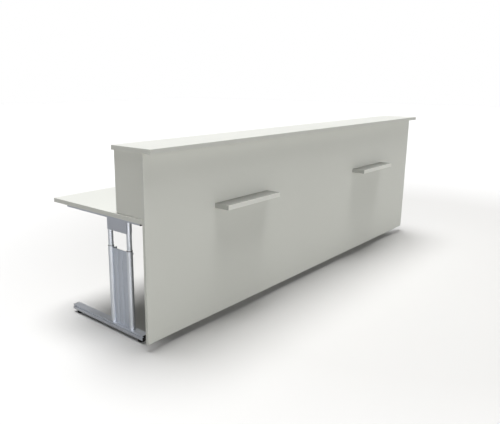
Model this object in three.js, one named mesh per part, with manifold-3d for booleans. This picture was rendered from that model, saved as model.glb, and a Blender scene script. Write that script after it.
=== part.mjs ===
// A long service counter: a desk-height worktop with a raised box along the customer's side, carried by
// three C-foot legs whose round columns telescope. Millimetres, +Z up, +X along the counter.
// The customer stands at -Y and the staff at +Y. The origin is on the floor, under the middle.
import * as THREE from 'three';
import { mergeVertices } from 'three/addons/utils/BufferGeometryUtils.js';
import Module from 'manifold-3d';

const wasm = await Module();
wasm.setup();

// Overall size
const OVERALL_LENGTH = 3320;
const OVERALL_DEPTH = 945;
const OVERALL_HEIGHT = 1110;
const GAP = 0.3; // between two pieces that touch

// Boards
const BOARD_THICKNESS = 25;
const PANEL_THICKNESS = 19;
const END_OVERHANG = 2; // top board past the front panel, at each end
const CHEEK_INSET = 8; // end cheeks behind the ends of the front panel
const WORKTOP_TOP = 740;
const PANEL_FLOOR_GAP = 45;
const FRONT_OVERHANG = 60; // top board past the front panel
const TOP_BOARD_DEPTH = 310;
const CHEEK_DEPTH = 220;

// Bag shelves
const SHELF_LENGTH = 510;
const SHELF_DEPTH = 105;
const SHELF_THICKNESS = 28;
const SHELF_CENTRES = { left: -860, right: 826 };
const SHELF_TOP = 742;
const PIN_RADIUS = 6;
const PIN_SPACING = 300;
const PIN_IN_SHELF = 70;
const PIN_IN_WORKTOP = 45;

// Legs
const LEG_INSET = 67; // leg's middle plane from the counter's end
const COLUMN_Y = 292; // column's middle behind the panel's front face
const TUBE_SPACING = 165;
const OUTER_TUBE_RADIUS = 17.5;
const OUTER_TUBE_BORE = 15.5;
const OUTER_TUBE_TOP = 520;
const INNER_TUBE_RADIUS = 15;
const INNER_TUBE_BORE = 12.5;
const INNER_TUBE_BOTTOM = 300;
const TUBE_SIDES = 32;
const GLIDE_SIDES = 24;
const ROD_SIDES = 16;

// Foot rail
const GLIDE_HEIGHT = 18;
const RAIL_WIDTH = 50;
const RAIL_HEIGHT = 33;
const RAIL_WALL = 3;
const RAIL_EDGE_RADIUS = 4;
const SHOULDER_INSET = 1; // rail's side above the groove
const SHOULDER_HEIGHT = 4;
const GROOVE_DEPTH = 2;
const GROOVE_HEIGHT = 4;
const GROOVE_SLOPE = 1;
const RAIL_LENGTH = 664;
const RAIL_START = 95; // behind the panel's front face
const CAP_THICKNESS = 3;
const PLUG_LENGTH = 12;
const GLIDE_RADIUS = 20;
const GLIDE_EDGE = 3;
const GLIDE_INSET = 38; // glide's axis from the rail's end
const STEM_RADIUS = 5;
const STEM_LENGTH = 26;
const STEM_HOLE_LENGTH = 10;
const STEM_CLEARANCE = 0.4;

// Support arm, top bracket and column cover
const ARM_WIDTH = 50;
const ARM_HEIGHT = 26;
const ARM_WALL = 2;
const ARM_START = 87; // behind the panel's front face
const ARM_LENGTH = 670;
const BRACKET_LENGTH = 174;
const BRACKET_DROP = 70;
const PLATE_THICKNESS = 3;
const COVER_WIDTH = 130;
const COVER_TOP = 510;
const COVER_FACE = 8; // cover's outer face from the plane of the tubes' axes
const COVER_WALL = 2.4;
const COVER_FLANGE = 33;
const FLANGE_CLEARANCE = 2; // between a flange and the tube beside it
const RIB_COUNT = 3;
const RIB_DEPTH = 1.6;
const RIB_STEPS = 8;

// Crossbeams and panel angles
const BEAM_HEIGHT = 40;
const BEAM_WIDTH = 20;
const ANGLE_LENGTH = 60;
const ANGLE_LEG = 48;

// Places worked out from the sizes
const PANEL_FRONT_Y = SHELF_DEPTH - OVERALL_DEPTH / 2;
const PANEL_BACK_Y = PANEL_FRONT_Y + PANEL_THICKNESS;
const STAFF_EDGE_Y = OVERALL_DEPTH / 2;
const PANEL_END_X = OVERALL_LENGTH / 2 - END_OVERHANG;
const WORKTOP_BOTTOM = WORKTOP_TOP - BOARD_THICKNESS;
const PANEL_TOP = OVERALL_HEIGHT - BOARD_THICKNESS - GAP;
const ARM_BOTTOM = WORKTOP_BOTTOM - GAP - ARM_HEIGHT;
const BRACKET_TOP = ARM_BOTTOM - GAP;
const RAIL_TOP = GLIDE_HEIGHT + RAIL_HEIGHT;
const LEG_X = OVERALL_LENGTH / 2 - LEG_INSET;
const LEGS = [['left', -LEG_X, -1], ['middle', 0, -1], ['right', LEG_X, 1]];

const melamine = new THREE.MeshStandardMaterial({ color: 0xb9bab2, roughness: 0.55, metalness: 0 });
const topMelamine = new THREE.MeshStandardMaterial({ color: 0xd6d7d0, roughness: 0.5, metalness: 0 });
const silverPaint = new THREE.MeshStandardMaterial({ color: 0xa3a8b2, roughness: 0.4, metalness: 0.6 });
const anodised = new THREE.MeshStandardMaterial({ color: 0x9aa0aa, roughness: 0.45, metalness: 0.7 });
const zincSteel = new THREE.MeshStandardMaterial({ color: 0xc0c4c8, roughness: 0.3, metalness: 0.9 });
const blackPlastic = new THREE.MeshStandardMaterial({ color: 0x141414, roughness: 0.6, metalness: 0 });

const counter = new THREE.Group();

function add(name, geometry, material, parent = counter) {
  const mesh = new THREE.Mesh(geometry, material);
  mesh.name = name;
  parent.add(mesh);
  return mesh;
}

function box(x0, x1, y0, y1, z0, z1) {
  const geometry = new THREE.BoxGeometry(x1 - x0, y1 - y0, z1 - z0);
  return geometry.translate((x0 + x1) / 2, (y0 + y1) / 2, (z0 + z1) / 2);
}

function toSolid(geometry) {
  const bare = geometry.clone();
  bare.deleteAttribute('normal');
  bare.deleteAttribute('uv');
  const welded = mergeVertices(bare, 1e-4);
  const vertProperties = new Float32Array(welded.attributes.position.array);
  const triVerts = new Uint32Array(welded.index.array);
  return new wasm.Manifold(new wasm.Mesh({ numProp: 3, vertProperties, triVerts }));
}

function fromSolid(solid) {
  const mesh = solid.getMesh();
  const geometry = new THREE.BufferGeometry();
  geometry.setAttribute('position', new THREE.BufferAttribute(new Float32Array(mesh.vertProperties), 3));
  geometry.setIndex(new THREE.BufferAttribute(new Uint32Array(mesh.triVerts), 1));
  return geometry;
}

function cut(geometry, cutters) {
  let solid = toSolid(geometry);
  for (const cutter of cutters) solid = solid.subtract(toSolid(cutter));
  return fromSolid(solid);
}

function join(first, second) {
  return fromSolid(toSolid(first).add(toSolid(second)));
}

// A solid of revolution about a vertical axis, from [radius, height] pairs of a closed outline.
function turned(outline, sides) {
  const points = outline.map(([radius, height]) => new THREE.Vector2(radius, height));
  return new THREE.LatheGeometry(points, sides).rotateX(Math.PI / 2);
}

function tube(outer, inner, bottom, top) {
  const outline = [[outer, bottom], [outer, top], [inner, top], [inner, bottom], [outer, bottom]];
  return turned(outline, TUBE_SIDES);
}

// A round rod along Y.
function rodAlongY(radius, x, y0, y1, z) {
  return new THREE.CylinderGeometry(radius, radius, y1 - y0, ROD_SIDES).translate(x, (y0 + y1) / 2, z);
}

// An outline in X and Z, pushed along Y from y0 by length.
function alongY(shape, y0, length, curveSegments = 4) {
  const geometry = new THREE.ExtrudeGeometry(shape, { depth: length, bevelEnabled: false, curveSegments });
  return geometry.rotateX(Math.PI / 2).translate(0, y0 + length, 0);
}

function rectangle(halfWidth, bottom, top, path = new THREE.Shape()) {
  path.moveTo(-halfWidth, bottom);
  path.lineTo(halfWidth, bottom);
  path.lineTo(halfWidth, top);
  path.lineTo(-halfWidth, top);
  path.closePath();
  return path;
}

// ---- Boards ----

function pinPlaces() {
  const halfSpacing = PIN_SPACING / 2;
  return Object.entries(SHELF_CENTRES).flatMap(([side, x]) => [
    [`${side}_shelf_pin_a`, x - halfSpacing],
    [`${side}_shelf_pin_b`, x + halfSpacing],
  ]);
}

function pinHoles() {
  const y0 = PANEL_FRONT_Y - PIN_IN_SHELF - GAP;
  const y1 = PANEL_BACK_Y + PIN_IN_WORKTOP + GAP;
  return pinPlaces().map(([, x]) => rodAlongY(PIN_RADIUS + GAP, x, y0, y1, SHELF_TOP - SHELF_THICKNESS / 2));
}

function addBoards() {
  const holes = pinHoles();
  const front = box(-PANEL_END_X, PANEL_END_X, PANEL_FRONT_Y, PANEL_BACK_Y, PANEL_FLOOR_GAP, PANEL_TOP);
  add('front_panel', cut(front, holes), melamine);
  const worktopY = PANEL_BACK_Y + GAP;
  const worktop = box(-PANEL_END_X, PANEL_END_X, worktopY, STAFF_EDGE_Y, WORKTOP_BOTTOM, WORKTOP_TOP);
  add('worktop', cut(worktop, holes), topMelamine);
  const boardFront = PANEL_FRONT_Y - FRONT_OVERHANG;
  const boardBack = boardFront + TOP_BOARD_DEPTH;
  const halfLength = OVERALL_LENGTH / 2;
  const boardBottom = OVERALL_HEIGHT - BOARD_THICKNESS;
  const board = box(-halfLength, halfLength, boardFront, boardBack, boardBottom, OVERALL_HEIGHT);
  add('top_board', board, topMelamine);
}

function addCheeks() {
  const endX = PANEL_END_X - CHEEK_INSET - PANEL_THICKNESS / 2;
  const places = {
    cheek_left: -endX,
    cheek_inner_left: -endX / 3,
    cheek_inner_right: endX / 3,
    cheek_right: endX,
  };
  const y0 = PANEL_BACK_Y + GAP;
  const z0 = WORKTOP_TOP + GAP;
  const halfThickness = PANEL_THICKNESS / 2;
  for (const [name, x] of Object.entries(places)) {
    const cheek = box(x - halfThickness, x + halfThickness, y0, y0 + CHEEK_DEPTH, z0, PANEL_TOP);
    add(name, cheek, melamine);
  }
}

function addShelves() {
  const holes = pinHoles();
  for (const [side, x] of Object.entries(SHELF_CENTRES)) {
    const halfLength = SHELF_LENGTH / 2;
    const back = PANEL_FRONT_Y - GAP;
    const front = PANEL_FRONT_Y - SHELF_DEPTH;
    const board = box(x - halfLength, x + halfLength, front, back, SHELF_TOP - SHELF_THICKNESS, SHELF_TOP);
    add(`${side}_bag_shelf`, cut(board, holes), melamine);
  }
  for (const [name, x] of pinPlaces()) {
    const y0 = PANEL_FRONT_Y - PIN_IN_SHELF;
    const y1 = PANEL_BACK_Y + PIN_IN_WORKTOP;
    add(name, rodAlongY(PIN_RADIUS, x, y0, y1, SHELF_TOP - SHELF_THICKNESS / 2), zincSteel);
  }
}

// ---- Feet ----

// A foot rail's outline: one half, from the middle of its underside to the middle of its top, mirrored.
function railOutline() {
  const side = RAIL_WIDTH / 2;
  const radius = RAIL_EDGE_RADIUS;
  const grooveTop = RAIL_HEIGHT - SHOULDER_HEIGHT;
  const grooveBottom = grooveTop - GROOVE_HEIGHT;
  const shape = new THREE.Shape();
  shape.moveTo(0, 0);
  shape.lineTo(side - radius, 0);
  shape.absarc(side - radius, radius, radius, -Math.PI / 2, 0, false);
  shape.lineTo(side, grooveBottom);
  shape.lineTo(side - GROOVE_DEPTH, grooveBottom + GROOVE_SLOPE);
  shape.lineTo(side - GROOVE_DEPTH, grooveTop - GROOVE_SLOPE);
  shape.lineTo(side - SHOULDER_INSET, grooveTop);
  shape.lineTo(side - SHOULDER_HEIGHT, RAIL_HEIGHT);
  shape.lineTo(0, RAIL_HEIGHT);
  const half = shape.getPoints(4);
  const mirrored = half.slice(1, -1).reverse().map((point) => new THREE.Vector2(-point.x, point.y));
  return new THREE.Shape([...half, ...mirrored]);
}

function glideYs() {
  const front = PANEL_FRONT_Y + RAIL_START;
  return { front: front + GLIDE_INSET, rear: front + RAIL_LENGTH - GLIDE_INSET };
}

function addRail(side, x) {
  const y0 = PANEL_FRONT_Y + RAIL_START;
  const halfBore = RAIL_WIDTH / 2 - RAIL_WALL - SHOULDER_INSET;
  const boreTop = RAIL_HEIGHT - RAIL_WALL - SHOULDER_HEIGHT;
  const outline = railOutline();
  outline.holes.push(rectangle(halfBore, RAIL_WALL, boreTop, new THREE.Path()));
  const holeRadius = STEM_RADIUS + STEM_CLEARANCE;
  const stemHoles = Object.values(glideYs()).map((y) => {
    const hole = new THREE.CylinderGeometry(holeRadius, holeRadius, STEM_HOLE_LENGTH, ROD_SIDES);
    return hole.rotateX(Math.PI / 2).translate(0, y, 0);
  });
  const rail = cut(alongY(outline, y0, RAIL_LENGTH), stemHoles);
  add(`${side}_foot_rail`, rail.translate(x, 0, GLIDE_HEIGHT), silverPaint);
  const plugHalf = halfBore - GAP;
  for (const [end, [plateY, plugEdge]] of Object.entries(capPlaces(y0, RAIL_LENGTH))) {
    const plate = alongY(railOutline(), plateY, CAP_THICKNESS);
    const plug = box(-plugHalf, plugHalf, plugEdge, plugEdge + PLUG_LENGTH, RAIL_WALL + GAP, boreTop - GAP);
    add(`${side}_foot_cap_${end}`, join(plate, plug).translate(x, 0, GLIDE_HEIGHT), blackPlastic);
  }
}

// Where a tube's two end caps have the edge of their plate and the edge of their plug, along Y.
function capPlaces(tubeY, tubeLength) {
  const frontPlate = tubeY - GAP - CAP_THICKNESS;
  const rearPlate = tubeY + tubeLength + GAP;
  const middle = CAP_THICKNESS / 2;
  return {
    front: [frontPlate, frontPlate + middle],
    rear: [rearPlate, rearPlate + middle - PLUG_LENGTH],
  };
}

function addGlides(side, x) {
  const shoulder = GLIDE_HEIGHT - GAP;
  const stemTop = shoulder + STEM_LENGTH;
  const outline = [[0, 0], [GLIDE_RADIUS - GLIDE_EDGE, 0], [GLIDE_RADIUS, GLIDE_EDGE]];
  outline.push([GLIDE_RADIUS, shoulder - GLIDE_EDGE], [GLIDE_RADIUS - GLIDE_EDGE, shoulder]);
  outline.push([STEM_RADIUS, shoulder], [STEM_RADIUS, stemTop], [0, stemTop]);
  for (const [end, y] of Object.entries(glideYs())) {
    add(`${side}_glide_${end}`, turned(outline, GLIDE_SIDES).translate(x, y, 0), blackPlastic);
  }
}

// ---- Column ----

// The column cover's outline seen from above: a face of shallow ribs towards -Y with a flange at each side,
// turned later to face the counter's end.
function coverOutline() {
  const half = COVER_WIDTH / 2;
  const flangeOuter = TUBE_SPACING / 2 - OUTER_TUBE_RADIUS - FLANGE_CLEARANCE;
  const flangeInner = flangeOuter - COVER_WALL;
  const inner = RIB_DEPTH + COVER_WALL;
  const steps = RIB_COUNT * RIB_STEPS;
  const shape = new THREE.Shape();
  shape.moveTo(-half, RIB_DEPTH);
  for (let i = 1; i <= steps; i += 1) {
    const bulge = Math.sin(Math.PI * (i % RIB_STEPS) / RIB_STEPS);
    shape.lineTo(-half + COVER_WIDTH * i / steps, RIB_DEPTH * (1 - bulge));
  }
  shape.lineTo(half, inner);
  shape.lineTo(flangeOuter, inner);
  shape.lineTo(flangeOuter, COVER_FLANGE);
  shape.lineTo(flangeInner, COVER_FLANGE);
  shape.lineTo(flangeInner, inner);
  shape.lineTo(-flangeInner, inner);
  shape.lineTo(-flangeInner, COVER_FLANGE);
  shape.lineTo(-flangeOuter, COVER_FLANGE);
  shape.lineTo(-flangeOuter, inner);
  shape.lineTo(-half, inner);
  return shape;
}

function addColumn(side, x, outward) {
  const middleY = PANEL_FRONT_Y + COLUMN_Y;
  const tubeYs = { front: middleY - TUBE_SPACING / 2, rear: middleY + TUBE_SPACING / 2 };
  for (const [end, y] of Object.entries(tubeYs)) {
    const outer = tube(OUTER_TUBE_RADIUS, OUTER_TUBE_BORE, RAIL_TOP + GAP, OUTER_TUBE_TOP);
    add(`${side}_outer_tube_${end}`, outer.translate(x, y, 0), silverPaint);
    const innerTop = BRACKET_TOP - PLATE_THICKNESS - GAP;
    const inner = tube(INNER_TUBE_RADIUS, INNER_TUBE_BORE, INNER_TUBE_BOTTOM, innerTop);
    add(`${side}_inner_tube_${end}`, inner.translate(x, y, 0), silverPaint);
  }
  const bottom = RAIL_TOP + GAP;
  const cover = new THREE.ExtrudeGeometry(coverOutline(), { depth: COVER_TOP - bottom, bevelEnabled: false });
  cover.translate(0, -COVER_FACE, bottom).rotateZ(outward * Math.PI / 2);
  add(`${side}_column_cover`, cover.translate(x, middleY, 0), anodised);
}

// ---- Frame under the worktop ----

function addTopFrame(side, x) {
  const middleY = PANEL_FRONT_Y + COLUMN_Y;
  const halfOutside = INNER_TUBE_RADIUS + GAP + PLATE_THICKNESS;
  const saddle = new THREE.Shape();
  saddle.moveTo(-halfOutside, -BRACKET_DROP);
  saddle.lineTo(-halfOutside + PLATE_THICKNESS, -BRACKET_DROP);
  saddle.lineTo(-halfOutside + PLATE_THICKNESS, -PLATE_THICKNESS);
  saddle.lineTo(halfOutside - PLATE_THICKNESS, -PLATE_THICKNESS);
  saddle.lineTo(halfOutside - PLATE_THICKNESS, -BRACKET_DROP);
  saddle.lineTo(halfOutside, -BRACKET_DROP);
  saddle.lineTo(halfOutside, 0);
  saddle.lineTo(-halfOutside, 0);
  const bracket = alongY(saddle, middleY - BRACKET_LENGTH / 2, BRACKET_LENGTH);
  add(`${side}_top_bracket`, bracket.translate(x, 0, BRACKET_TOP), silverPaint);

  const armY = PANEL_FRONT_Y + ARM_START;
  const section = rectangle(ARM_WIDTH / 2, 0, ARM_HEIGHT);
  section.holes.push(rectangle(ARM_WIDTH / 2 - ARM_WALL, ARM_WALL, ARM_HEIGHT - ARM_WALL, new THREE.Path()));
  add(`${side}_support_arm`, alongY(section, armY, ARM_LENGTH).translate(x, 0, ARM_BOTTOM), silverPaint);
  const plugHalf = ARM_WIDTH / 2 - ARM_WALL - GAP;
  const plugTop = ARM_HEIGHT - ARM_WALL - GAP;
  for (const [end, [plateY, plugEdge]] of Object.entries(capPlaces(armY, ARM_LENGTH))) {
    const plate = box(-ARM_WIDTH / 2, ARM_WIDTH / 2, plateY, plateY + CAP_THICKNESS, 0, ARM_HEIGHT);
    const plug = box(-plugHalf, plugHalf, plugEdge, plugEdge + PLUG_LENGTH, ARM_WALL + GAP, plugTop);
    add(`${side}_arm_cap_${end}`, join(plate, plug).translate(x, 0, ARM_BOTTOM), blackPlastic);
  }
}

function addPanelAngle(side, x) {
  const y0 = PANEL_BACK_Y + GAP;
  const z1 = WORKTOP_BOTTOM - GAP;
  const halfLength = ANGLE_LENGTH / 2;
  const flat = box(x - halfLength, x + halfLength, y0, y0 + ANGLE_LEG, z1 - PLATE_THICKNESS, z1);
  const upright = box(x - halfLength, x + halfLength, y0, y0 + PLATE_THICKNESS, z1 - ANGLE_LEG, z1);
  add(`${side}_panel_angle`, join(flat, upright), zincSteel);
}

function addCrossbeams() {
  const middleY = PANEL_FRONT_Y + COLUMN_Y;
  const fromLeg = INNER_TUBE_RADIUS + 2 * GAP + PLATE_THICKNESS;
  const spans = { left: [-LEG_X + fromLeg, -fromLeg], right: [fromLeg, LEG_X - fromLeg] };
  const section = rectangle(BEAM_WIDTH / 2, -BEAM_HEIGHT, 0);
  const halfBore = BEAM_WIDTH / 2 - ARM_WALL;
  section.holes.push(rectangle(halfBore, ARM_WALL - BEAM_HEIGHT, -ARM_WALL, new THREE.Path()));
  for (const [side, [x0, x1]] of Object.entries(spans)) {
    const beam = alongY(section, 0, x1 - x0).rotateZ(-Math.PI / 2);
    add(`${side}_crossbeam`, beam.translate(x0, middleY, BRACKET_TOP), silverPaint);
  }
}

addBoards();
addCheeks();
addShelves();
addCrossbeams();
for (const [side, x, outward] of LEGS) {
  addRail(side, x);
  addGlides(side, x);
  addColumn(side, x, outward);
  addTopFrame(side, x);
  addPanelAngle(side, x);
}

export default counter;
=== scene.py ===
"""Looks for a long service counter on C-foot legs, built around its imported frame."""

import math

import bmesh
import bpy
from bpy.props import FloatProperty, FloatVectorProperty, IntProperty, PointerProperty
from mathutils import Matrix, Vector


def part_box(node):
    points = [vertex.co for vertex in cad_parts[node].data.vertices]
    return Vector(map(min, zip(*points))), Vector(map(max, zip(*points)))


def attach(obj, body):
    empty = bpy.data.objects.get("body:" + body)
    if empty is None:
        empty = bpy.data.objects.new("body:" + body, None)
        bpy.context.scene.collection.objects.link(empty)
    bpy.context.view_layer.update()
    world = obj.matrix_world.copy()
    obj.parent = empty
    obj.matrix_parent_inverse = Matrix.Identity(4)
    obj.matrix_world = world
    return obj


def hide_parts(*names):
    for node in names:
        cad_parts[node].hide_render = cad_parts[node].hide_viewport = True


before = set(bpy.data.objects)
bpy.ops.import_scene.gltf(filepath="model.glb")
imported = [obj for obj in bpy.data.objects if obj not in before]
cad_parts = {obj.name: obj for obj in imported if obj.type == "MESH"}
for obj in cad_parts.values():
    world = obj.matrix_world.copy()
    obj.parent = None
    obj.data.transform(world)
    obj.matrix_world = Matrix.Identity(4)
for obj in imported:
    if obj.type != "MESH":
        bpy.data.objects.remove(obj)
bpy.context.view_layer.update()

bl_info = {
    "name": "Service Counter",
    "version": (1, 0, 0),
    "blender": (4, 5, 0),
    "location": "View3D > Sidebar > Counter",
    "description": "Builds a service counter's boards, legs, fittings and finishes around its frame",
    "category": "Object",
}

TOP = "raised_top"
FEET = "feet"
SIDES = ("left", "middle", "right")
ENDS = ("front", "rear")
UP = Vector((0, 0, 1))
GRAZED = "front panel light"  # the collection of what the grazing light falls on

# Sizes of small features, in metres
CAP_THICKNESS = 0.003
SHEET = 0.003  # folded steel of the brackets and the panel angles
FOLD_ROUNDING = 0.001
INNER_TUBE_WALL = 0.0025
SLIDING_CLEARANCE = 0.0007
COVER_WALL = 0.0024
COVER_GROOVE = 0.0026  # between two ribs
COVER_FLANGE_STEP = 0.002
RIB_STEPS = 14
STEM_RADIUS = 0.005
STEM_PITCH = 0.0015
GLIDE_FOOT_HEIGHT = 0.0176
BOSS_RADIUS = 0.0065
SOCKET_RADIUS = 0.0018
RAIL_CORNER = 0.004
RAIL_SHOULDER = 0.005
ON_PLANE = 1e-5  # how near a plane a corner counts as on it

# Each light's name, spread in degrees and way of travel
LIGHTS = (
    ("overhead", 40, (-0.07, -0.14, -1)),
    ("grazing", 28, (0, 0.21, -1)),
    ("fill", 40, (0.1, 1, -0.1)),
)


# ---- Settings ----

def colour_setting(name, description, *default):
    return FloatVectorProperty(
        name=name, description=description, subtype="COLOR", size=3, min=0, max=1, default=default)


def length_setting(name, description, default, least, most):
    return FloatProperty(
        name=name, description=description, default=default, min=least, max=most, unit="LENGTH")


def strength_setting(name, description, default):
    return FloatProperty(name=name, description=description, default=default, min=0)


class CounterBoardSettings(bpy.types.PropertyGroup):
    band_thickness: length_setting("Edge band", "Thickness of the plastic edge band", 0.002, 0.0005, 0.003)
    band_radius: length_setting("Edge radius", "Rounding of the edge band's corners", 0.0012, 0.0002, 0.002)
    core_radius: length_setting(
        "Joint chamfer", "Tiny rounding where a board meets its edge band", 0.00025, 0.0001, 0.001)
    foot_chamfer: length_setting(
        "Shadow joint", "Chamfer round the foot of a cheek, where it stands on the worktop",
        0.003, 0.0005, 0.006)
    wear_width: length_setting("Wear width", "How far handling shows from an edge", 0.006, 0.001, 0.02)
    body_colour: colour_setting("Body colour", "Melamine of the panel and the cheeks", 0.600, 0.608, 0.566)
    # The worktop and top board take a lighter copy of the body melamine: painted light on their upward
    # faces, standing in for light from overhead.
    top_colour: colour_setting(
        "Top colour", "Melamine of the worktop and the top board", 0.690, 0.698, 0.660)
    # The bag shelves take a much darker copy of the melamine: painted shade, standing in for the top
    # board's shadow on them.
    shelf_colour: colour_setting("Shelf colour", "Melamine of the bag shelves", 0.375, 0.381, 0.355)
    # The shelves' front edge band is paler than the other edge bands: painted light on that edge.
    shelf_band_colour: colour_setting(
        "Shelf band colour", "Plastic of the bag shelves' front edge, painted paler as light", 0.770, 0.779, 0.732)
    band_colour: colour_setting("Band colour", "Plastic of the edge bands", 0.590, 0.598, 0.560)


class CounterSteelSettings(bpy.types.PropertyGroup):
    # The paint and the bright silver are one silver coat in two copies: darker on the brackets, arms,
    # crossbeams and weld beads as painted shade, lighter on the column tubes and foot rails as painted
    # light.
    paint_colour: colour_setting(
        "Paint colour", "Silver powder coat of the brackets, arms and crossbeams", 0.45, 0.475, 0.535)
    tube_colour: colour_setting(
        "Bright silver", "Bright silver of the column tubes and the foot rails", 0.64, 0.67, 0.725)
    cover_colour: colour_setting(
        "Cover colour", "Anodised aluminium of the column covers", 0.49, 0.53, 0.60)
    round_segments: IntProperty(
        name="Round segments", description="Segments of a tube's circumference",
        default=64, min=16, max=128)
    bead_radius: length_setting(
        "Weld bead", "Radius of the weld bead at the foot of a column tube", 0.0018, 0.0005, 0.004)
    bush_height: length_setting(
        "Bush height", "Height of the plastic bush that shows at a column's joint", 0.0022, 0.001, 0.01)
    rib_count: IntProperty(
        name="Ribs", description="Shallow ribs across a column cover", default=3, min=1, max=12)
    rib_depth: length_setting(
        "Rib depth", "How far the ribs of a column cover stand out", 0.004, 0.0002, 0.004)


class CounterFittingSettings(bpy.types.PropertyGroup):
    plastic_colour: colour_setting(
        "Plastic colour", "Moulded caps, bushes and glides", 0.005, 0.005, 0.0055)
    zinc_colour: colour_setting("Zinc colour", "Zinc-plated screws, pins and angles", 0.62, 0.64, 0.66)
    screw_radius: length_setting("Screw head", "Radius of a pan-head screw", 0.0045, 0.002, 0.01)
    cap_bulge: length_setting("Cap rounding", "Rounding of the moulded caps' edges", 0.0012, 0.0002, 0.003)


class CounterStageSettings(bpy.types.PropertyGroup):
    floor_colour: colour_setting("Floor colour", "Plain pale floor", 0.66, 0.655, 0.645)
    far_and_lit_floor_colour: colour_setting(
        "Far and lit floor colour", "The floor where it meets the background, and where it is painted lighter towards the rear left", 0.84, 0.84, 0.84)
    bounce_colour: colour_setting(
        "Bounce colour", "The floor as it lights the counter from below", 0.42, 0.415, 0.40)
    floor_size: length_setting("Floor size", "Side of the floor", 60, 5, 200)
    camera_place: FloatVectorProperty(
        name="Camera place", description="Where the camera stands",
        subtype="TRANSLATION", unit="LENGTH", size=3, default=(-3.387, -2.380, 1.431))
    camera_yaw: FloatProperty(
        name="Camera yaw", description="Turn of the camera from +Y towards +X",
        subtype="ANGLE", default=math.radians(48.136))
    camera_pitch: FloatProperty(
        name="Camera pitch", description="Tilt of the camera above the horizon",
        subtype="ANGLE", default=math.radians(-13.437))
    camera_lens: FloatProperty(
        name="Camera lens", description="Focal length on a 36 mm sensor", default=38.33, min=10, max=200)
    camera_shift: FloatVectorProperty(
        name="Camera shift", description="Sideways and upward shift of the lens",
        size=2, default=(0.0758, -0.0059))
    horizon_strength: strength_setting(
        "Horizon strength", "Brightness of the soft light at eye level", 0.68)
    softbox_strength: strength_setting(
        "Softbox strength", "Extra brightness at eye level on the softbox's side", 3.0)
    gloss_boost: FloatProperty(
        name="Gloss boost", description="How much brighter the softbox is in reflections than as a light",
        default=2.4, min=1)
    softbox_side: FloatVectorProperty(
        name="Softbox side", description="The way to the softbox", subtype="DIRECTION", size=3,
        default=(-0.6, -0.8, 0))
    overhead_strength: strength_setting("Overhead strength", "Brightness of the broad light overhead", 4.0)
    grazing_strength: strength_setting(
        "Grazing strength", "Brightness of the light that grazes the front panel from above", 1.7)
    fill_strength: strength_setting(
        "Fill strength", "Brightness of the low light from the customer's side", 0.25)


# ---- Mesh helpers ----

def box(low, high):
    """A bmesh box between two corners."""
    low, high = Vector(low), Vector(high)
    bm = bmesh.new()
    place = Matrix.Translation((low + high) / 2) @ Matrix.Diagonal((*(high - low), 1))
    bmesh.ops.create_cube(bm, size=1.0, matrix=place)
    return bm


def round_edges(bm, radius, segments=2, edges=None):
    bmesh.ops.bevel(
        bm, geom=list(edges or bm.edges), offset=radius, offset_type="OFFSET", segments=segments,
        profile=0.5, affect="EDGES", clamp_overlap=True, material=-1)


def on_plane(edge, axis, place):
    """Whether an edge lies on the plane at this place along an axis (0, 1 or 2)."""
    return all(abs(vert.co[axis] - place) < ON_PLANE for vert in edge.verts)


def prism(outline, axis, start, length):
    """Pushes a flat outline of points straight along a world axis (0, 1 or 2), from start by length.

    The outline's two numbers are the other two axes, in order.
    """
    bm = bmesh.new()
    others = [i for i in range(3) if i != axis]
    ring = []
    for a, b in outline:
        point = Vector((0, 0, 0))
        point[others[0]], point[others[1]], point[axis] = a, b, start
        ring.append(bm.verts.new(point))
    face = bm.faces.new(ring)
    pushed = bmesh.ops.extrude_face_region(bm, geom=[face])["geom"]
    step = Vector((0, 0, 0))
    step[axis] = length
    bmesh.ops.translate(bm, vec=step, verts=[v for v in pushed if isinstance(v, bmesh.types.BMVert)])
    bmesh.ops.recalc_face_normals(bm, faces=bm.faces)
    return bm


def turned(profile, segments, centre=(0, 0, 0)):
    """Spins a closed profile of (radius, height) points about a vertical axis through centre."""
    bm = bmesh.new()
    verts = [bm.verts.new((radius, 0, height)) for radius, height in profile]
    edges = [bm.edges.new((a, b)) for a, b in zip(verts, verts[1:])]
    if profile[0][0] > 0:
        edges.append(bm.edges.new((verts[-1], verts[0])))
    bmesh.ops.spin(
        bm, geom=verts + edges, cent=(0, 0, 0), axis=UP, angle=2 * math.pi, steps=segments,
        use_merge=True)
    bmesh.ops.remove_doubles(bm, verts=bm.verts, dist=1e-6)
    bmesh.ops.recalc_face_normals(bm, faces=bm.faces)
    bmesh.ops.translate(bm, vec=Vector(centre), verts=bm.verts)
    return bm


def joined(parts):
    """Puts several bmeshes into one."""
    whole = bmesh.new()
    for part in parts:
        holder = bpy.data.meshes.new("part")
        part.to_mesh(holder)
        part.free()
        whole.from_mesh(holder)
        bpy.data.meshes.remove(holder)
    return whole


def mark_wear(bm, width):
    """Gives vertices a wear value: 1 along the edges, 0 further in than width on the wide faces."""
    wear = bm.verts.layers.float.new("wear")
    for vert in bm.verts:
        vert[wear] = 1.0
    wide = []
    for face in bm.faces:
        longest = max(edge.calc_length() for edge in face.edges)
        if face.calc_area() / longest > 2.5 * width:
            wide.append(face)
    bmesh.ops.inset_individual(bm, faces=wide, thickness=width, depth=0, use_even_offset=True)
    for face in wide:
        for vert in face.verts:
            vert[wear] = 0.0


def piece(name, bm, material, body, stands_for=(), smooth_angle=32):
    """Makes a finished object from a bmesh, ties it to its body and hides the CAD nodes that it stands for.
    """
    mesh = bpy.data.meshes.new(name)
    bm.to_mesh(mesh)
    bm.free()
    mesh.materials.append(material)
    mesh.shade_smooth()
    mesh.set_sharp_from_angle(angle=math.radians(smooth_angle))
    obj = bpy.data.objects.new(name, mesh)
    bpy.context.scene.collection.objects.link(obj)
    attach(obj, body)
    if stands_for:
        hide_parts(*stands_for)
    return obj


# ---- Material helpers ----

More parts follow.
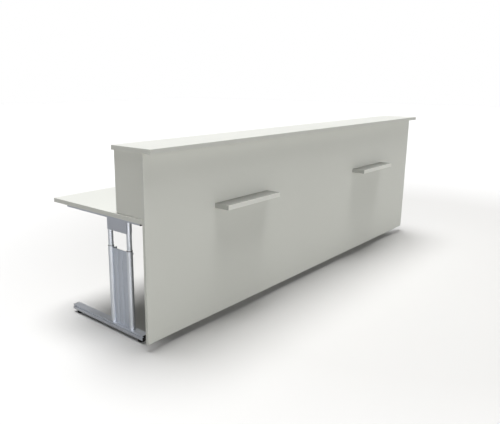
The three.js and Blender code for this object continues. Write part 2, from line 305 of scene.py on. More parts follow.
def new_node(tree, kind, inputs=None, **settings):
    node = tree.nodes.new(kind)
    for key, value in settings.items():
        setattr(node, key, value)
    for key, value in (inputs or {}).items():
        if isinstance(value, bpy.types.NodeSocket):
            tree.links.new(value, node.inputs[key])
        else:
            node.inputs[key].default_value = value
    return node


def new_group(name, inputs, outputs):
    """A shader node group with float or vector sockets: gives its tree, input node and output node."""
    tree = bpy.data.node_groups.new(name, "ShaderNodeTree")
    for socket, (kind, default) in inputs.items():
        made = tree.interface.new_socket(name=socket, in_out="INPUT", socket_type=kind)
        if default is not None:
            made.default_value = default
    for socket in outputs:
        tree.interface.new_socket(name=socket, in_out="OUTPUT", socket_type="NodeSocketFloat")
    return tree, tree.nodes.new("NodeGroupInput"), tree.nodes.new("NodeGroupOutput")


FLOAT = "NodeSocketFloat"
VECTOR = "NodeSocketVector"


def fine_grain_group():
    """Two sizes of noise: a fine one for the surface's texture and a broad one for slow colour drift."""
    if "Fine Grain" in bpy.data.node_groups:
        return bpy.data.node_groups["Fine Grain"]
    inputs = {"Vector": (VECTOR, None), "Grain Size": (FLOAT, 0.001), "Drift Size": (FLOAT, 0.6)}
    tree, given, made = new_group("Fine Grain", inputs, ["Grain", "Drift"])
    for size, output, detail in (("Grain Size", "Grain", 3.0), ("Drift Size", "Drift", 2.0)):
        scale = new_node(tree, "ShaderNodeMath", {0: 1.0, 1: given.outputs[size]}, operation="DIVIDE")
        noise = new_node(tree, "ShaderNodeTexNoise", {
            "Vector": given.outputs["Vector"], "Scale": scale.outputs[0], "Detail": detail,
            "Roughness": 0.55})
        tree.links.new(noise.outputs["Fac"], made.inputs[output])
    return tree


def edge_wear_group():
    """A patchy mask along the edges that the mesh marks as handled."""
    if "Edge Wear" in bpy.data.node_groups:
        return bpy.data.node_groups["Edge Wear"]
    inputs = {"Vector": (VECTOR, None), "Edge": (FLOAT, 0.0), "Amount": (FLOAT, 0.5)}
    tree, given, made = new_group("Edge Wear", inputs, ["Mask"])
    noise = new_node(tree, "ShaderNodeTexNoise", {
        "Vector": given.outputs["Vector"], "Scale": 45.0, "Detail": 5.0, "Roughness": 0.65})
    patches = new_node(tree, "ShaderNodeMapRange", {
        "Value": noise.outputs["Fac"], "From Min": 0.42, "From Max": 0.68, "To Min": 0.0, "To Max": 1.0})
    rim = new_node(tree, "ShaderNodeMath", {0: given.outputs["Edge"], 1: 2.0}, operation="POWER")
    both = new_node(
        tree, "ShaderNodeMath", {0: patches.outputs[0], 1: rim.outputs[0]}, operation="MULTIPLY")
    mask = new_node(
        tree, "ShaderNodeMath", {0: both.outputs[0], 1: given.outputs["Amount"]}, operation="MULTIPLY",
        use_clamp=True)
    tree.links.new(mask.outputs[0], made.inputs["Mask"])
    return tree


def dust_group():
    """A mask of thin dust on the faces that look up."""
    if "Settled Dust" in bpy.data.node_groups:
        return bpy.data.node_groups["Settled Dust"]
    inputs = {"Vector": (VECTOR, None), "Normal": (VECTOR, None), "Amount": (FLOAT, 0.3)}
    tree, given, made = new_group("Settled Dust", inputs, ["Mask"])
    split = new_node(tree, "ShaderNodeSeparateXYZ", {"Vector": given.outputs["Normal"]})
    upward = new_node(tree, "ShaderNodeMapRange", {
        "Value": split.outputs["Z"], "From Min": 0.6, "From Max": 1.0, "To Min": 0.0, "To Max": 1.0})
    noise = new_node(tree, "ShaderNodeTexNoise", {
        "Vector": given.outputs["Vector"], "Scale": 9.0, "Detail": 6.0, "Roughness": 0.7})
    clouds = new_node(tree, "ShaderNodeMapRange", {
        "Value": noise.outputs["Fac"], "From Min": 0.35, "From Max": 0.75, "To Min": 0.2, "To Max": 1.0})
    both = new_node(
        tree, "ShaderNodeMath", {0: upward.outputs[0], 1: clouds.outputs[0]}, operation="MULTIPLY")
    mask = new_node(
        tree, "ShaderNodeMath", {0: both.outputs[0], 1: given.outputs["Amount"]}, operation="MULTIPLY",
        use_clamp=True)
    tree.links.new(mask.outputs[0], made.inputs["Mask"])
    return tree


def lines_group():
    """Long fine lines along Z, as an extruded or drawn surface has."""
    if "Drawn Lines" in bpy.data.node_groups:
        return bpy.data.node_groups["Drawn Lines"]
    inputs = {"Vector": (VECTOR, None), "Line Width": (FLOAT, 0.0008), "Stretch": (FLOAT, 0.01)}
    tree, given, made = new_group("Drawn Lines", inputs, ["Lines"])
    squeeze = new_node(tree, "ShaderNodeCombineXYZ", {
        "X": 1.0, "Y": 1.0, "Z": given.outputs["Stretch"]})
    stretched = new_node(tree, "ShaderNodeVectorMath", {
        0: given.outputs["Vector"], 1: squeeze.outputs[0]}, operation="MULTIPLY")
    scale = new_node(tree, "ShaderNodeMath", {0: 1.0, 1: given.outputs["Line Width"]}, operation="DIVIDE")
    noise = new_node(tree, "ShaderNodeTexNoise", {
        "Vector": stretched.outputs[0], "Scale": scale.outputs[0], "Detail": 2.0, "Roughness": 0.5})
    tree.links.new(noise.outputs["Fac"], made.inputs["Lines"])
    return tree


def tinted(tree, colour, factor, darker, lighter):
    """A colour that runs from darker to lighter times itself as factor runs from 0 to 1."""
    low = tuple(channel * darker for channel in colour) + (1,)
    high = tuple(min(channel * lighter, 1) for channel in colour) + (1,)
    mix = new_node(tree, "ShaderNodeMix", data_type="RGBA")
    tree.links.new(factor, mix.inputs[0])
    mix.inputs[6].default_value = low
    mix.inputs[7].default_value = high
    return mix.outputs[2]


def mixed_in(tree, base, colour, mask):
    """Base with a plain colour laid over it by a mask."""
    mix = new_node(tree, "ShaderNodeMix", data_type="RGBA")
    tree.links.new(mask, mix.inputs[0])
    tree.links.new(base, mix.inputs[6])
    mix.inputs[7].default_value = (*colour, 1)
    return mix.outputs[2]


def spread(tree, value, low, high):
    """Maps a 0 to 1 value onto low to high."""
    ranged = new_node(tree, "ShaderNodeMapRange", {
        "Value": value, "From Min": 0.3, "From Max": 0.7, "To Min": low, "To Max": high})
    return ranged.outputs[0]


def start_material(name):
    """A new material: gives it with its tree, its Principled shader and its Object coordinates."""
    material = bpy.data.materials.new(name)
    material.use_nodes = True
    tree = material.node_tree
    shader = tree.nodes["Principled BSDF"]
    places = new_node(tree, "ShaderNodeTexCoord").outputs["Object"]
    return material, tree, shader, places


def bumped(tree, shader, height, strength, distance):
    bump = new_node(tree, "ShaderNodeBump", {"Height": height, "Strength": strength, "Distance": distance})
    tree.links.new(bump.outputs[0], shader.inputs["Normal"])


def grouped(tree, group, inputs):
    node = tree.nodes.new("ShaderNodeGroup")
    node.node_tree = group
    for key, value in inputs.items():
        if isinstance(value, bpy.types.NodeSocket):
            tree.links.new(value, node.inputs[key])
        else:
            node.inputs[key].default_value = value
    return node


def edge_of(tree):
    return new_node(tree, "ShaderNodeAttribute", attribute_name="wear").outputs["Fac"]


def normal_of(tree):
    return new_node(tree, "ShaderNodeNewGeometry").outputs["Normal"]


# ---- Materials ----

def melamine(name, colour):
    """Melamine-faced board: a fine pearl texture, slow colour drift, thin dust and paler handled edges."""
    material, tree, shader, places = start_material(name)
    grain = grouped(tree, fine_grain_group(), {"Vector": places, "Grain Size": 0.0012, "Drift Size": 0.9})
    wear = grouped(tree, edge_wear_group(), {"Vector": places, "Edge": edge_of(tree), "Amount": 0.35})
    dust = grouped(tree, dust_group(), {"Vector": places, "Normal": normal_of(tree), "Amount": 0.16})
    base = tinted(tree, colour, grain.outputs["Drift"], 0.965, 1.03)
    base = mixed_in(tree, base, [min(c * 1.16, 1) for c in colour], wear.outputs["Mask"])
    base = mixed_in(tree, base, (0.70, 0.69, 0.66), dust.outputs["Mask"])
    tree.links.new(base, shader.inputs["Base Color"])
    tree.links.new(spread(tree, grain.outputs["Grain"], 0.46, 0.58), shader.inputs["Roughness"])
    bumped(tree, shader, grain.outputs["Grain"], 0.22, 0.00012)
    shader.inputs["Specular IOR Level"].default_value = 0.42
    return material


def edge_band(name, colour):
    """Plastic edge band: smoother than the board, with scraped corners."""
    material, tree, shader, places = start_material(name)
    grain = grouped(tree, fine_grain_group(), {"Vector": places, "Grain Size": 0.003, "Drift Size": 0.5})
    wear = grouped(tree, edge_wear_group(), {"Vector": places, "Edge": edge_of(tree), "Amount": 0.5})
    base = tinted(tree, colour, grain.outputs["Drift"], 0.96, 1.03)
    base = mixed_in(tree, base, [min(c * 1.22, 1) for c in colour], wear.outputs["Mask"])
    tree.links.new(base, shader.inputs["Base Color"])
    tree.links.new(spread(tree, grain.outputs["Drift"], 0.36, 0.46), shader.inputs["Roughness"])
    bumped(tree, shader, grain.outputs["Grain"], 0.12, 0.0001)
    shader.inputs["Specular IOR Level"].default_value = 0.45
    return material


def powder_coat(name, colour, metallic):
    """Silver powder coat: a metallic paint with an orange-peel surface and rubbed edges."""
    material, tree, shader, places = start_material(name)
    grain = grouped(tree, fine_grain_group(), {"Vector": places, "Grain Size": 0.0016, "Drift Size": 0.15})
    flakes = grouped(
        tree, fine_grain_group(), {"Vector": places, "Grain Size": 0.00035, "Drift Size": 0.05})
    wear = grouped(tree, edge_wear_group(), {"Vector": places, "Edge": edge_of(tree), "Amount": 0.5})
    dust = grouped(tree, dust_group(), {"Vector": places, "Normal": normal_of(tree), "Amount": 0.25})
    base = tinted(tree, colour, flakes.outputs["Grain"], 0.90, 1.12)
    base = mixed_in(tree, base, (0.66, 0.67, 0.69), wear.outputs["Mask"])
    base = mixed_in(tree, base, (0.60, 0.59, 0.57), dust.outputs["Mask"])
    tree.links.new(base, shader.inputs["Base Color"])
    tree.links.new(spread(tree, grain.outputs["Drift"], 0.30, 0.42), shader.inputs["Roughness"])
    bumped(tree, shader, grain.outputs["Grain"], 0.35, 0.0002)
    shader.inputs["Metallic"].default_value = metallic
    return material


def anodised(name, colour):
    """Anodised aluminium extrusion: fine drawn lines up its length."""
    material, tree, shader, places = start_material(name)
    lines = grouped(tree, lines_group(), {"Vector": places, "Line Width": 0.0009, "Stretch": 0.012})
    grain = grouped(tree, fine_grain_group(), {"Vector": places, "Grain Size": 0.0006, "Drift Size": 0.2})
    wear = grouped(tree, edge_wear_group(), {"Vector": places, "Edge": edge_of(tree), "Amount": 0.4})
    base = tinted(tree, colour, lines.outputs["Lines"], 0.88, 1.12)
    base = mixed_in(tree, base, (0.62, 0.63, 0.65), wear.outputs["Mask"])
    tree.links.new(base, shader.inputs["Base Color"])
    tree.links.new(spread(tree, lines.outputs["Lines"], 0.34, 0.50), shader.inputs["Roughness"])
    bumped(tree, shader, lines.outputs["Lines"], 0.3, 0.0001)
    shader.inputs["Metallic"].default_value = 0.3
    return material


def zinc_plate(name, colour):
    """Bright zinc plate with a cloudy passivation."""
    material, tree, shader, places = start_material(name)
    grain = grouped(tree, fine_grain_group(), {"Vector": places, "Grain Size": 0.0009, "Drift Size": 0.012})
    base = tinted(tree, colour, grain.outputs["Drift"], 0.82, 1.1)
    tree.links.new(base, shader.inputs["Base Color"])
    tree.links.new(spread(tree, grain.outputs["Drift"], 0.24, 0.38), shader.inputs["Roughness"])
    bumped(tree, shader, grain.outputs["Grain"], 0.2, 0.0001)
    shader.inputs["Metallic"].default_value = 1.0
    return material


def black_plastic(name, colour):
    """Moulded black plastic: spark-eroded texture and a little dust."""
    material, tree, shader, places = start_material(name)
    grain = grouped(tree, fine_grain_group(), {"Vector": places, "Grain Size": 0.0007, "Drift Size": 0.03})
    dust = grouped(tree, dust_group(), {"Vector": places, "Normal": normal_of(tree), "Amount": 0.05})
    base = tinted(tree, colour, grain.outputs["Drift"], 0.8, 1.4)
    base = mixed_in(tree, base, (0.20, 0.20, 0.19), dust.outputs["Mask"])
    tree.links.new(base, shader.inputs["Base Color"])
    tree.links.new(spread(tree, grain.outputs["Grain"], 0.5, 0.7), shader.inputs["Roughness"])
    bumped(tree, shader, grain.outputs["Grain"], 0.4, 0.0001)
    shader.inputs["Specular IOR Level"].default_value = 0.25
    return material


def floor_paint(name, colour, far_and_lit_colour, bounce_colour):
    """A plain pale floor, faintly uneven, that throws little light back; painted paler with distance from a
    point in front of the counter's right half, partly as a fade into the white background, partly as
    painted light towards the rear left.
    """
    material, tree, shader, places = start_material(name)
    grain = grouped(tree, fine_grain_group(), {"Vector": places, "Grain Size": 0.01, "Drift Size": 1.5})
    near = tinted(tree, colour, grain.outputs["Drift"], 0.985, 1.015)
    # Paler with distance from a point in front of the counter's right half: partly a fade into the white
    # background, partly painted light on the floor towards the rear left.
    from_middle = new_node(tree, "ShaderNodeMapping", {"Vector": places, "Location": (-1.0, 0.5, 0.0)})
    distance = new_node(tree, "ShaderNodeVectorMath", {0: from_middle.outputs[0]}, operation="LENGTH")
    far = new_node(tree, "ShaderNodeMapRange", {
        "Value": distance.outputs["Value"], "From Min": 2.2, "From Max": 4.4, "To Min": 0.0, "To Max": 1.0})
    seen = mixed_in(tree, near, far_and_lit_colour, far.outputs[0])
    by_camera = new_node(tree, "ShaderNodeLightPath").outputs["Is Camera Ray"]
    bounced = new_node(tree, "ShaderNodeMath", {0: 1.0, 1: by_camera}, operation="SUBTRACT")
    tree.links.new(mixed_in(tree, seen, bounce_colour, bounced.outputs[0]), shader.inputs["Base Color"])
    shader.inputs["Roughness"].default_value = 0.75
    shader.inputs["Specular IOR Level"].default_value = 0.2
    return material


# Each finish: its material's name, what makes it, and the settings its colour comes from
FINISHES = {
    "body": ("Body melamine", melamine, "counter_boards", "body_colour"),
    "shelf": ("Shelf melamine", melamine, "counter_boards", "shelf_colour"),
    "top": ("Top melamine", melamine, "counter_boards", "top_colour"),
    "band": ("Edge band", edge_band, "counter_boards", "band_colour"),
    "shelf_band": ("Shelf edge band", edge_band, "counter_boards", "shelf_band_colour"),
    "paint": ("Silver powder coat", powder_coat, "counter_steel", "paint_colour", 0.5),
    "bright": ("Bright silver coat", powder_coat, "counter_steel", "tube_colour", 0.85),
    "cover": ("Fluted aluminium", anodised, "counter_steel", "cover_colour"),
    "zinc": ("Zinc plate", zinc_plate, "counter_fittings", "zinc_colour"),
    "plastic": ("Black plastic", black_plastic, "counter_fittings", "plastic_colour"),
}


def coat(finish):
    """A finish's material, made the first time that it is asked for."""
    name, make, settings, colour, *values = FINISHES[finish]
    found = bpy.data.materials.get(name)
    return found or make(name, getattr(getattr(bpy.context.scene, settings), colour), *values)


# ---- Boards ----

def banded_board(node, name, finish, banded, band=None, foot_chamfer=0):
    """A board with edge bands on some of its sides, in the place of a CAD node.

    banded holds pairs of axis and side, such as (0, 1) for the +X side.
    """
    boards = bpy.context.scene.counter_boards
    low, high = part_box(node)
    thickness = boards.band_thickness
    core_low, core_high = low.copy(), high.copy()
    for axis, side in banded:
        if side > 0:
            core_high[axis] -= thickness
        else:
            core_low[axis] += thickness
    core = box(core_low, core_high)
    if foot_chamfer:
        round_edges(core, foot_chamfer, 1, [
            edge for edge in core.edges if on_plane(edge, 2, low.z)])
    round_edges(core, boards.core_radius, 1)
    mark_wear(core, boards.wear_width)
    made = piece(name, core, finish, TOP, stands_for=[node])
    strips = []
    for index, (axis, side) in enumerate(banded):
        strip_low, strip_high = core_low.copy(), core_high.copy()
        for other_axis, other_side in banded[:index]:
            if other_axis != axis:
                if other_side > 0:
                    strip_high[other_axis] = high[other_axis]
                else:
                    strip_low[other_axis] = low[other_axis]
        if side > 0:
            strip_low[axis], strip_high[axis] = core_high[axis], high[axis]
        else:
            strip_low[axis], strip_high[axis] = low[axis], core_low[axis]
        strip = box(strip_low, strip_high)
        face = (high if side > 0 else low)[axis]
        round_edges(strip, boards.band_radius, 3, [
            edge for edge in strip.edges if on_plane(edge, axis, face)])
        mark_wear(strip, thickness)
        strips.append(strip)
    if strips:
        piece(f"{name}_edge_band", joined(strips), band or coat("band"), TOP)
    return made


class COUNTER_OT_top_board(bpy.types.Operator):
    """Make the top board of the raised box, banded all round"""
    bl_idname = "counter.top_board"
    bl_label = "Top Board"

    def execute(self, context):
        sides = [(1, -1), (1, 1), (0, -1), (0, 1)]
        banded_board("top_board", "top_board_melamine", coat("top"), sides)
        return {"FINISHED"}


class COUNTER_OT_worktop(bpy.types.Operator):
    """Make the desk-height worktop, banded on its three open edges"""
    bl_idname = "counter.worktop"
    bl_label = "Worktop"

    def execute(self, context):
        sides = [(1, 1), (0, -1), (0, 1)]
        banded_board("worktop", "worktop_melamine", coat("top"), sides)
        return {"FINISHED"}


class COUNTER_OT_front_panel(bpy.types.Operator):
    """Make the front panel, banded on its two ends and along the bottom"""
    bl_idname = "counter.front_panel"
    bl_label = "Front Panel"

    def execute(self, context):
        sides = [(0, -1), (0, 1), (2, -1)]
        panel = banded_board("front_panel", "front_panel_melamine", coat("body"), sides)
        bpy.data.collections[GRAZED].objects.link(panel)
        return {"FINISHED"}


class COUNTER_OT_cheeks(bpy.types.Operator):
    """Make the four upright cheeks of the raised box"""
    bl_idname = "counter.cheeks"
    bl_label = "Cheeks"

    def execute(self, context):
        for node in ("cheek_left", "cheek_inner_left", "cheek_inner_right", "cheek_right"):
            banded_board(
                node, f"{node}_melamine", coat("body"), [(1, 1)],
                foot_chamfer=context.scene.counter_boards.foot_chamfer)
        return {"FINISHED"}


class COUNTER_OT_bag_shelves(bpy.types.Operator):
    """Make the two bag shelves, banded along the front, and finish the pins that carry them"""
    bl_idname = "counter.bag_shelves"
    bl_label = "Bag Shelves"

    def execute(self, context):
        for side in ("left", "right"):
            banded_board(
                f"{side}_bag_shelf", f"{side}_bag_shelf_melamine", coat("shelf"), [(1, -1)],
                coat("shelf_band"))
            for letter in ("a", "b"):
                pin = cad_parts[f"{side}_shelf_pin_{letter}"]
                pin.data.materials.clear()
                pin.data.materials.append(coat("zinc"))
        return {"FINISHED"}


# ---- Legs ----

def arc(centre, radius, start, end, steps):
    """Points along an arc, angles in degrees."""
    points = []
    for i in range(steps + 1):
        angle = math.radians(start + (end - start) * i / steps)
        points.append((centre[0] + radius * math.cos(angle), centre[1] + radius * math.sin(angle)))
    return points


def rail_outline(node):
    """A foot rail's section: flat sides, a groove under each shoulder and a softly rounded top."""
    low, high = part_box(node)
    middle = (low.x + high.x) / 2
    half = (high.x - low.x) / 2
    bottom, top = low.z, high.z
    height = top - bottom
    groove = bottom + height * 0.75
    groove_half = height * 0.11
    groove_depth = 0.007
    right = [
        *arc((half - RAIL_CORNER, bottom + RAIL_CORNER), RAIL_CORNER, -90, 0, 5),
        (half, groove - groove_half * 1.08),
        (half - groove_depth, groove - groove_half),
        (half - groove_depth, groove + groove_half),
        *arc((half - RAIL_SHOULDER - 0.0005, top - RAIL_SHOULDER), RAIL_SHOULDER, 8, 90, 6),
    ]
    left = [(-x, z) for x, z in reversed(right)]
    return [(middle + x, z) for x, z in right + left]


class COUNTER_OT_foot_rails(bpy.types.Operator):
    """Make the three foot rails with their end caps"""
    bl_idname = "counter.foot_rails"
    bl_label = "Foot Rails"

    def execute(self, context):
        bulge = context.scene.counter_fittings.cap_bulge
        for side in SIDES:
            node = f"{side}_foot_rail"
            low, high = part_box(node)
            rail = prism(rail_outline(node), 1, low.y, high.y - low.y)
            piece(f"{side}_foot_rail_steel", rail, coat("bright"), FEET, [node])
            for end in ENDS:
                cap_node = f"{side}_foot_cap_{end}"
                cap_low, cap_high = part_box(cap_node)
                start = cap_low.y if end == "front" else cap_high.y - CAP_THICKNESS
                cap = prism(rail_outline(node), 1, start, CAP_THICKNESS)
                outer_y = cap_low.y if end == "front" else cap_high.y
                round_edges(cap, bulge, 3, [edge for edge in cap.edges if on_plane(edge, 1, outer_y)])
                piece(
                    f"{side}_foot_cap_{end}_moulding", cap, coat("plastic"), FEET,
                    [cap_node])
        return {"FINISHED"}


class COUNTER_OT_glides(bpy.types.Operator):
    """Make the six levelling glides with their threaded stems"""
    bl_idname = "counter.glides"
    bl_label = "Glides"

    def execute(self, context):
        segments = context.scene.counter_steel.round_segments
        for side in SIDES:
            for end in ENDS:
                node = f"{side}_glide_{end}"
                low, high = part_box(node)
                middle = (low + high) / 2
                radius = (high.x - low.x) / 2
                base = turned([
                    (0, 0), (radius - 0.003, 0), *[
                        (radius - 0.003 + 0.003 * math.sin(math.radians(a)),
                         0.003 - 0.003 * math.cos(math.radians(a))) for a in (30, 60, 90)],
                    (radius, 0.007), (radius - 0.0012, 0.0078), (radius - 0.0012, 0.0088),
                    (radius, 0.0096), (radius - 0.001, 0.0125), (radius - 0.004, 0.0150),
                    (0.011, 0.0162), (0.0105, GLIDE_FOOT_HEIGHT), (0, GLIDE_FOOT_HEIGHT),
                ], segments, (middle.x, middle.y, low.z))
                body = f"{side}_{end}_glide"
                piece(f"{node}_foot", base, coat("plastic"), body, [node])
                stem = threaded_stem(low.z + GLIDE_FOOT_HEIGHT, high.z, (middle.x, middle.y))
                piece(f"{node}_stem", stem, coat("zinc"), body)
        return {"FINISHED"}


def threaded_stem(bottom, top, centre):
    """A threaded stem: a turned rod whose outline is a row of ridges."""
    ridges = int((top - bottom) / STEM_PITCH)
    root = STEM_RADIUS * 0.86
    outline = [(0, 0), (root, 0)]
    for i in range(ridges):
        outline.append((STEM_RADIUS, (i + 0.5) * STEM_PITCH))
        outline.append((root, (i + 1) * STEM_PITCH))
    outline.append((0, ridges * STEM_PITCH))
    return turned(outline, 24, (centre[0], centre[1], bottom))


def tube_profile(outer, inner, bottom, top, chamfer):
    """A tube's wall as (radius, height) points, chamfered at both ends."""
    return [
        (outer - chamfer, bottom), (outer, bottom + chamfer),
        (outer, top - chamfer), (outer - chamfer, top),
        (inner + chamfer, top), (inner, top - chamfer),
        (inner, bottom + chamfer), (inner + chamfer, bottom)]


class COUNTER_OT_columns(bpy.types.Operator):
    """Make the outer and inner column tubes, their bushes, weld beads and clamp screws"""
    bl_idname = "counter.columns"
    bl_label = "Columns"

    def execute(self, context):
        steel = context.scene.counter_steel
        for side in SIDES:
            inward = -1 if side == "right" else 1
            for end in ENDS:
                outer_node, inner_node = f"{side}_outer_tube_{end}", f"{side}_inner_tube_{end}"
                low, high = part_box(outer_node)
                middle = (low + high) / 2
                radius = (high.y - low.y) / 2
                inner_low, inner_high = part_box(inner_node)
                inner_radius = (inner_high.y - inner_low.y) / 2
                place = (middle.x, middle.y, 0)
                outer_top = high.z - steel.bush_height
                outer = turned(
                    tube_profile(radius, inner_radius + SLIDING_CLEARANCE, low.z, outer_top, 0.0006),
                    steel.round_segments, place)
                piece(f"{outer_node}_steel", outer, coat("bright"), FEET, [outer_node])
                inner = turned(
                    tube_profile(
                        inner_radius, inner_radius - INNER_TUBE_WALL, inner_low.z, inner_high.z, 0.0005),
                    steel.round_segments, place)
                piece(f"{inner_node}_steel", inner, coat("bright"), TOP, [inner_node])
                bush = turned(
                    tube_profile(
                        radius + 0.0004, inner_radius + 0.0002, outer_top + 0.0002, high.z, 0.0008),
                    steel.round_segments, place)
                piece(f"{side}_column_bush_{end}", bush, coat("plastic"), FEET)
                bead = turned([
                    (radius + steel.bead_radius * math.cos(math.radians(a)),
                     low.z + steel.bead_radius * (0.1 + math.sin(math.radians(a))))
                    for a in range(0, 360, 45)], steel.round_segments, place)
                piece(f"{side}_column_weld_{end}", bead, coat("paint"), FEET)
                screw = clamp_screw(middle.x + inward * radius, middle.y, high.z - 0.022, inward)
                piece(f"{side}_clamp_screw_{end}", screw, coat("zinc"), FEET)
        return {"FINISHED"}


def clamp_screw(x, y, z, direction):
    """A socket set screw in a welded boss, standing out from a tube along X."""
    boss = turned([
        (0.0032, 0), (BOSS_RADIUS, 0), (BOSS_RADIUS, 0.0052), (0.0058, 0.006), (0.0036, 0.006),
        (0.0032, 0.0056)], 32)
    plug = turned([
        (SOCKET_RADIUS, 0.004), (0.003, 0.005), (0.003, 0.0005), (SOCKET_RADIUS, 0.0005)], 6)
    whole = joined([boss, plug])
    turn = Matrix.Rotation(direction * math.pi / 2, 4, "Y")
    seat = Matrix.Translation((x - direction * 0.0006, y, z))
    bmesh.ops.transform(whole, matrix=seat @ turn, verts=whole.verts)
    return whole


def cover_outline(node, outward, ribs, depth):
    """A column cover's section seen from above: shallow ribs on the outside, a flange at each side."""
    low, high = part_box(node)
    middle = (low.y + high.y) / 2
    half = (high.y - low.y) / 2
    face = low.x if outward < 0 else high.x
    reach = high.x - low.x
    flange = half - COVER_FLANGE_STEP
    pitch = 2 * half / ribs
    front = []
    for i in range(ribs):
        start = -half + i * pitch
        for k in range(RIB_STEPS + 1):
            across = k / RIB_STEPS
            drop = depth * (2 * across - 1) ** 2
            front.append((start + COVER_GROOVE / 2 + (pitch - COVER_GROOVE) * across, drop))
        if i < ribs - 1:
            front.append((start + pitch, depth + COVER_GROOVE))
    inner = depth + COVER_WALL
    inside = flange - COVER_WALL
    back = [
        (half, inner), (flange, inner + 0.001), (flange, reach - 0.002), (flange - 0.001, reach),
        (inside + 0.0005, reach), (inside, reach - 0.001), (inside, inner + 0.001),
        (inside - 0.001, inner)]
    mirrored = [(-across, inward) for across, inward in reversed(back)]
    return [(face - outward * inward, middle + across) for across, inward in front + back + mirrored]


class COUNTER_OT_column_covers(bpy.types.Operator):
    """Make the ribbed aluminium covers that close the gap between the column tubes and hide the cables"""
    bl_idname = "counter.column_covers"
    bl_label = "Column Covers"

    def execute(self, context):
        steel = context.scene.counter_steel
        for side in SIDES:
            node = f"{side}_column_cover"
            low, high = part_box(node)
            outward = 1 if side == "right" else -1
            outline = cover_outline(node, outward, steel.rib_count, steel.rib_depth)
            cover = prism(outline, 2, low.z, high.z - low.z)
            piece(f"{node}_extrusion", cover, coat("cover"), FEET, [node], smooth_angle=22)
        return {"FINISHED"}


class COUNTER_OT_top_frames(bpy.types.Operator):
    """Make the top brackets, the support arms and their caps"""
    bl_idname = "counter.top_frames"
    bl_label = "Top Frames"

    def execute(self, context):
        bulge = context.scene.counter_fittings.cap_bulge
        for side in SIDES:
            node = f"{side}_top_bracket"
            low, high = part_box(node)
            left, right = low.x, high.x
            inner_left, inner_right, under = left + SHEET, right - SHEET, high.z - SHEET
            section = [
                (left, low.z), (inner_left, low.z), (inner_left, under - FOLD_ROUNDING),
                (inner_left + FOLD_ROUNDING, under), (inner_right - FOLD_ROUNDING, under),
                (inner_right, under - FOLD_ROUNDING), (inner_right, low.z), (right, low.z),
                *arc((inner_right, under), SHEET, 0, 90, 4),
                *arc((inner_left, under), SHEET, 90, 180, 4)]
            saddle = prism(section, 1, low.y, high.y - low.y)
            piece(f"{node}_steel", saddle, coat("paint"), TOP, [node])
            arm_node = f"{side}_support_arm"
            arm_low, arm_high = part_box(arm_node)
            arm = box(arm_low, arm_high)
            long_edges = [
                edge for edge in arm.edges if abs(edge.verts[0].co.y - edge.verts[1].co.y) > 0.1]
            round_edges(arm, 0.003, 4, long_edges)
            piece(f"{arm_node}_steel", arm, coat("paint"), TOP, [arm_node])
            for end in ENDS:
                cap_node = f"{side}_arm_cap_{end}"
                cap_low, cap_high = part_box(cap_node)
                if end == "front":
                    cap_high.y = cap_low.y + CAP_THICKNESS
                else:
                    cap_low.y = cap_high.y - CAP_THICKNESS
                cap = box(cap_low, cap_high)
                round_edges(cap, bulge, 3)
                piece(f"{cap_node}_moulding", cap, coat("plastic"), TOP, [cap_node])
        return {"FINISHED"}


def pan_head(place, radius, direction):
    """A pan-head screw with a cross recess, its head standing out along direction."""
    head = turned([
        (0, 0), (radius, 0), (radius, radius * 0.22), (radius * 0.93, radius * 0.42),
        (radius * 0.72, radius * 0.6), (radius * 0.4, radius * 0.68), (0, radius * 0.7)], 32)
    turn = UP.rotation_difference(Vector(direction)).to_matrix().to_4x4()
    bmesh.ops.transform(head, matrix=Matrix.Translation(place) @ turn, verts=head.verts)
    return head


class COUNTER_OT_crossbeams(bpy.types.Operator):
    """Make the crossbeams between the legs"""
    bl_idname = "counter.crossbeams"
    bl_label = "Crossbeams"

    def execute(self, context):
        for side in ("left", "right"):
            node = f"{side}_crossbeam"
            beam = box(*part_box(node))
            long_edges = [edge for edge in beam.edges if edge.calc_length() > 0.1]
            round_edges(beam, 0.002, 3, long_edges)
            piece(f"{node}_steel", beam, coat("paint"), TOP, [node])
        return {"FINISHED"}


class COUNTER_OT_screws(bpy.types.Operator):
    """Make the panel angles and the screws that hold the boards to the frame"""
    bl_idname = "counter.screws"
    bl_label = "Angles and Screws"

    def execute(self, context):
        radius = context.scene.counter_fittings.screw_radius
        for side in SIDES:
            node = f"{side}_panel_angle"
            low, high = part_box(node)
            face, under = low.y + SHEET, high.z - SHEET
            section = [
                (low.y, low.z), (face, low.z), (face, under - 0.002), (face + 0.002, under),
                (high.y, under), (high.y, high.z), (low.y, high.z)]
            angle = prism(section, 0, low.x, high.x - low.x)
            corners = [edge for edge in angle.edges if edge.calc_length() > 0.05]
            round_edges(angle, 0.0005, 2, corners)
            piece(f"{node}_steel", angle, coat("zinc"), TOP, [node])
            heads = []
            for offset in (-0.018, 0.018):
                x = (low.x + high.x) / 2 + offset
                heads.append(pan_head((x, face, low.z + 0.016), radius, (0, 1, 0)))
                heads.append(pan_head((x, high.y - 0.014, under), radius, (0, 0, -1)))
            piece(f"{side}_angle_screws", joined(heads), coat("zinc"), TOP)
            arm_low, arm_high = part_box(f"{side}_support_arm")
            places = [arm_low.y + 0.05, arm_high.y - 0.25, arm_high.y - 0.05]
            x = (arm_low.x + arm_high.x) / 2
            screws = joined([pan_head((x, y, arm_low.z), radius, (0, 0, -1)) for y in places])
            piece(f"{side}_arm_screws", screws, coat("zinc"), TOP)
        return {"FINISHED"}


# ---- Stage ----

